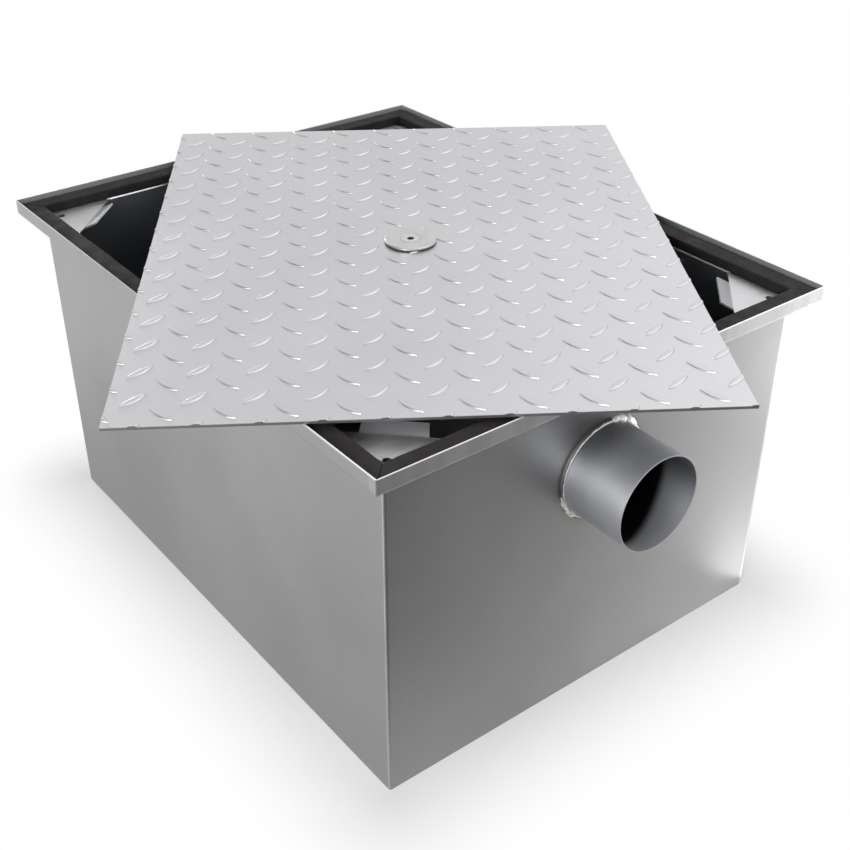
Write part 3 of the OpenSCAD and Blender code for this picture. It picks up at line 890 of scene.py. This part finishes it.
lid_shape = bmesh.new()
add_block(lid_shape, (-LID_W / 2, -LID_L / 2, 0.0), (LID_W / 2, LID_L / 2, PLATE_T), EDGE_BREAK)
for leaning, shift in ((LEAN, 0.0), (-LEAN, 0.5)):
    for column in COLUMNS:
        for row in ROWS:
            x = FIRST_LOZENGE[0] + PITCH_X * (column + shift)
            y = FIRST_LOZENGE[1] + PITCH_Y * (row + shift)
            if abs(x) < LID_W / 2 + PAST_EDGE and abs(y) < LID_L / 2 + PAST_EDGE:
                take_in(lid_shape, lozenge(x, y, leaning))
lid_place = Matrix.Translation(lid_centre) @ Matrix.Rotation(lid_turn, 4, "Z")
bmesh.ops.transform(lid_shape, matrix=lid_place, verts=lid_shape.verts)
lid_piece = mesh_piece("lid_tread_plate", lid_shape, tread_plate("tread_plate"), "tank")
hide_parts("lid_plate")


# Lid disc and seal.
# The disc is turned from steel bar, faced with a fine feed that leaves rings, and lies on the lozenges'
# crests. The seal is a black rubber washer that grips the screw under the lid.

DISC_DARK = (0.50, 0.492, 0.487, 1.0)
DISC_LIGHT = (0.66, 0.652, 0.647, 1.0)
DISC_SIDE_SHADE = (0.15, 0.15, 0.155, 1.0)
DISC_RINGS = (1600.0, 1.0, 1.0)
DISC_SMUDGES = (60.0, 60.0, 60.0)
DISC_SHARES = (0.6, 0.5)
DISC_UPRIGHT = (0.9, 0.6)
SIDE_SHADE_BELOW = (0.0, -0.0008)
DISC_ROUGHNESS = (0.32, 0.44)
DISC_RELIEF = 0.00004
RUBBER_DARK = (0.012, 0.012, 0.012, 1.0)
RUBBER_LIGHT = (0.045, 0.045, 0.045, 1.0)
RUBBER_BLOOM = (120.0, 120.0, 120.0)
RUBBER_ROUGHNESS = (0.5, 0.75)
RUBBER_RELIEF = 0.00005


def off_axis(finish, x, y, centre):
    """Distance from the upright axis through a centre."""
    return distance(finish, less(finish, x, centre.x), less(finish, y, centre.y))


def turned_face(name, centre):
    finish, shader = new_finish(name, metal=0.9, roughness=0.36)
    x, y, z = split_place(finish)
    outward = add_node(finish, "ShaderNodeCombineXYZ")
    wire(finish, off_axis(finish, x, y, centre), outward.inputs[0])
    rings = clouds(finish, DISC_RINGS, detail=2.0, place=outward.outputs[0])
    tone = mottle(finish, rings, clouds(finish, DISC_SMUDGES, shift=8.0), DISC_SHARES)
    colour = blend_colours(finish, ramp(finish, tone, *TONES), DISC_DARK, DISC_LIGHT)

    # The lower half of the side is painted dark, as painted shade.
    upright = ramp(finish, looks_up(finish), *DISC_UPRIGHT)
    side_shade = times(finish, upright, ramp(finish, less(finish, z, centre.z), *SIDE_SHADE_BELOW))
    colour = blend_colours(finish, side_shade, colour, DISC_SIDE_SHADE)
    roughness = ramp(finish, tone, *TONES, *DISC_ROUGHNESS)
    lay_on(finish, shader, colour, roughness, rings, DISC_RELIEF)
    return finish


def rubber(name):
    finish, shader = new_finish(name, metal=0.0, roughness=0.6)
    bloom = clouds(finish, RUBBER_BLOOM, detail=4.0)
    colour = blend_colours(finish, bloom, RUBBER_DARK, RUBBER_LIGHT)
    roughness = ramp(finish, bloom, *WORN_TONES, *RUBBER_ROUGHNESS)
    lay_on(finish, shader, colour, roughness, bloom, RUBBER_RELIEF)
    return finish


dress(["lid_disc"], turned_face("lid_disc", middle("lid_disc")))
dress(["lid_seal"], rubber("seal_rubber"))


# Captive screw and its clip.
# A plain steel countersunk socket screw through disc and lid, kept in the lid by a snap ring. The
# deep part of its socket is painted dark, as painted shade.

SOCKET_SHADE = (0.02, 0.02, 0.021, 1.0)
SOCKET_SPAN = (0.0050, 0.0048)
SOCKET_SHADE_BELOW = (-0.0013, -0.0021)


def shaded_socket(name, centre, top):
    finish = screw_steel(name)
    shader = finish.node_tree.nodes["Principled BSDF"]
    steel = shader.inputs["Base Color"].links[0].from_socket
    x, y, z = split_place(finish)
    within = ramp(finish, off_axis(finish, x, y, centre), *SOCKET_SPAN)
    deep_shade = times(finish, within, ramp(finish, less(finish, z, top), *SOCKET_SHADE_BELOW))
    wire(finish, blend_colours(finish, deep_shade, steel, SOCKET_SHADE), shader.inputs["Base Color"])
    return finish


screw_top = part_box("lid_screw")[1][2]
dress(["lid_screw"], shaded_socket("screw_steel_socket", middle("lid_screw"), screw_top))
dress(["screw_clip"], fastener_steel)


# Floor and backdrop.
# A white studio floor of painted board, with a white backdrop all round. Near the tank the floor keeps the
# shadow, and from 15 cm off it is white. In the steel it glows with a painted light, dim at the front left,
# white at the right.

FLOOR_WHITE = (0.86, 0.86, 0.86, 1.0)
BACKDROP_WHITE = (1.0, 1.0, 1.0, 1.0)
FLOOR_HALF = 12.0
FLOOR_BELOW = 0.0003
WORLD_FILL = 0.05

# Whiteness over the floor: from and to, with the values there where they aren't 0 and 1.
SEEN_FADE = (-0.10, 0.15)
SIDE_FADE = (0.0, 0.55, 0.65, 1.0)
RIGHT_SIDE = (0.0, 0.2)
FRONT_BEARING = math.radians(53.7)
DIM_TO_GREY = (-0.64, -0.47, 0.17, 0.52)
GREY_TO_WHITE = (-0.42, -0.08, 0.0, 0.48)
NEAR_LIFT = (0.30, 0.04, 0.0, 0.09)
FRONT_FROM = (-TANK_HALF_L + 0.03, -TANK_HALF_L - 0.03)


def flat_sheet(name, half_size, finish):
    """A square sheet that lies flat."""
    shape = bmesh.new()
    bmesh.ops.create_grid(shape, x_segments=1, y_segments=1, size=half_size)
    mesh = bpy.data.meshes.new(name)
    shape.to_mesh(mesh)
    shape.free()
    mesh.materials.append(finish)
    sheet = bpy.data.objects.new(name, mesh)
    bpy.context.scene.collection.objects.link(sheet)
    return sheet


def seen_and_mirrored(finish):
    """1 for the camera's rays, and 1 for the rays off gloss and through glass that show the backdrop too."""
    rays = add_node(finish, "ShaderNodeLightPath").outputs
    mirrored = reckon(finish, "MAXIMUM", rays["Is Glossy Ray"], rays["Is Transmission Ray"])
    return rays["Is Camera Ray"], mirrored


def away_from_tank(finish):
    """Distance from the tank's foot, over the floor."""
    x, y = split_place(finish)[:2]
    past = []
    for place, half in ((x, TANK_HALF_W), (y, TANK_HALF_L)):
        over = less(finish, reckon(finish, "ABSOLUTE", place), half)
        past.append(reckon(finish, "MAXIMUM", over, 0.0))
    return distance(finish, *past)


def mirrored_white(finish):
    """How white the steel sees the floor, as a painted glow: dimmer near the tank's sides, and in front
    rising to the right.
    """
    x, y = split_place(finish)[:2]
    away = away_from_tank(finish)
    beside = ramp(finish, away, *SIDE_FADE)
    beside = reckon(finish, "MAXIMUM", beside, ramp(finish, x, *RIGHT_SIDE))
    along = times(finish, x, math.cos(FRONT_BEARING))
    along = plus(finish, along, times(finish, y, math.sin(FRONT_BEARING)))
    before = plus(finish, ramp(finish, along, *DIM_TO_GREY), ramp(finish, along, *GREY_TO_WHITE))
    before = plus(finish, before, ramp(finish, away, *NEAR_LIFT))
    before = reckon(finish, "MINIMUM", before, 1.0)
    in_front = ramp(finish, y, *FRONT_FROM)
    return plus(finish, beside, times(finish, in_front, less(finish, before, beside)))


def studio_floor(name):
    """Painted board, which gives way to white where the camera sees it far off or the steel mirrors it."""
    finish, shader = new_finish(name, metal=0.0, roughness=0.9)
    shader.inputs["Base Color"].default_value = FLOOR_WHITE
    seen, mirrored = seen_and_mirrored(finish)
    seen_white = times(finish, seen, ramp(finish, away_from_tank(finish), *SEEN_FADE))
    white = add_node(finish, "ShaderNodeEmission")
    wire(finish, reckon(finish, "MAXIMUM", seen, mirrored_white(finish)), white.inputs["Strength"])
    mix = add_node(finish, "ShaderNodeMixShader")
    wire(finish, reckon(finish, "MAXIMUM", seen_white, mirrored), mix.inputs["Fac"])
    wire(finish, shader.outputs["BSDF"], mix.inputs[1])
    wire(finish, white.outputs["Emission"], mix.inputs[2])
    wire(finish, mix.outputs["Shader"], finish.node_tree.nodes["Material Output"].inputs["Surface"])
    return finish


floor = flat_sheet("studio_floor", FLOOR_HALF, studio_floor("studio_floor"))
floor.location.z = -FLOOR_BELOW

studio = bpy.data.worlds.new("studio")
bpy.context.scene.world = studio
studio.use_nodes = True
backdrop = studio.node_tree.nodes["Background"]
backdrop.inputs["Color"].default_value = BACKDROP_WHITE
backdrop_shows = reckon(studio, "MAXIMUM", *seen_and_mirrored(studio))
wire(studio, ramp(studio, backdrop_shows, 0.0, 1.0, WORLD_FILL, 1.0), backdrop.inputs["Strength"])


# Lamps.
# Soft boxes on stands round the object, higher at the right, which the camera doesn't see. A small one
# stands at the right of the inlet wall and a strip lies on the floor there, so that the steel glows.

MID_TANK = Vector((0.0, 0.0, 0.2))
RIGHT_EDGE = Vector((TANK_HALF_W, -TANK_HALF_L, 0.2))
WARM = (1.0, 0.985, 0.97)
PLAIN = (1.0, 1.0, 1.0)
COOL = (0.98, 0.99, 1.0)

# Name, what it is aimed at, place, size, watts and tint.
SOFT_BOXES = (
    ("left_box", MID_TANK, (-2.19, 0.0, 0.39), (1.2, 0.5), 11.0, WARM),
    ("front_left_box", MID_TANK, (-1.81, -1.04, 0.95), (1.0, 0.9), 27.0, PLAIN),
    ("back_box", MID_TANK, (0.0, 2.18, 0.51), (1.0, 0.6), 14.0, PLAIN),
    ("back_right_box", MID_TANK, (1.53, 0.71, 1.61), (1.0, 1.0), 1.2, COOL),
    ("front_right_box", MID_TANK, (1.05, -1.1, 2.4), (1.2, 1.2), 6.0, COOL),
    ("high_right_box", MID_TANK, (1.47, -0.10, 1.92), (0.9, 0.9), 3.6, COOL),
    ("right_box", RIGHT_EDGE, (0.7, -0.5, 0.15), (0.2, 0.5), 1.0, COOL),
)
STRIP_PLACE = (0.580, -0.5865, 0.003)
STRIP_TURN = (math.pi, 0.0, math.radians(55.0))
STRIP_SIZE = (0.08, 0.735)
STRIP_WATTS = 0.25


def facing(place, aim):
    """The turn of a lamp or board at a place that faces what it is aimed at."""
    return (aim - Vector(place)).to_track_quat("-Z", "Y").to_euler()


def soft_box(name, place, turn, size, watts, tint):
    lamp = bpy.data.lights.new(name, "AREA")
    lamp.shape = "RECTANGLE"
    lamp.size, lamp.size_y = size
    lamp.energy = watts
    lamp.color = tint
    box = bpy.data.objects.new(name, lamp)
    box.location = place
    box.rotation_euler = turn
    box.visible_camera = False
    bpy.context.scene.collection.objects.link(box)


for name, aim, place, size, watts, tint in SOFT_BOXES:
    soft_box(name, place, facing(place, aim), size, watts, tint)
soft_box("floor_strip", STRIP_PLACE, STRIP_TURN, STRIP_SIZE, STRIP_WATTS, COOL)


# Black board.
# A sheet of board painted black and hung high behind the left wall. It keeps the lozenges' left sides
# dark, as a photographer would do to make a tread show.

BOARD_PLACE = (-1.14, 0.8, 1.87)
BOARD_HALF = 0.8
BOARD_PAINT = (0.22, 0.22, 0.22, 1.0)

board_finish, board_shader = new_finish("black_board", metal=0.0, roughness=0.95)
board_shader.inputs["Base Color"].default_value = BOARD_PAINT
board = flat_sheet("black_board", BOARD_HALF, board_finish)
board.location = BOARD_PLACE
board.rotation_euler = facing(BOARD_PLACE, MID_TANK)
board.visible_camera = False


# Camera.
# It stands over the tank's near corner and looks down at the lid, as the photograph was taken, with a lens a
# little longer than normal.

CAMERA_PLACE = (-0.80684, -1.10787, 1.03861)
CAMERA_TURN = (math.radians(57.464), 0.0, math.radians(-37.663))
FILM_WIDTH = 36.0
LENS = 53.43

camera_data = bpy.data.cameras.new("camera")
camera_data.sensor_width = FILM_WIDTH
camera_data.lens = LENS
camera = bpy.data.objects.new("camera", camera_data)
camera.location = CAMERA_PLACE
camera.rotation_euler = CAMERA_TURN
bpy.context.scene.collection.objects.link(camera)
bpy.context.scene.camera = camera
bpy.context.scene.view_settings.view_transform = "Standard"
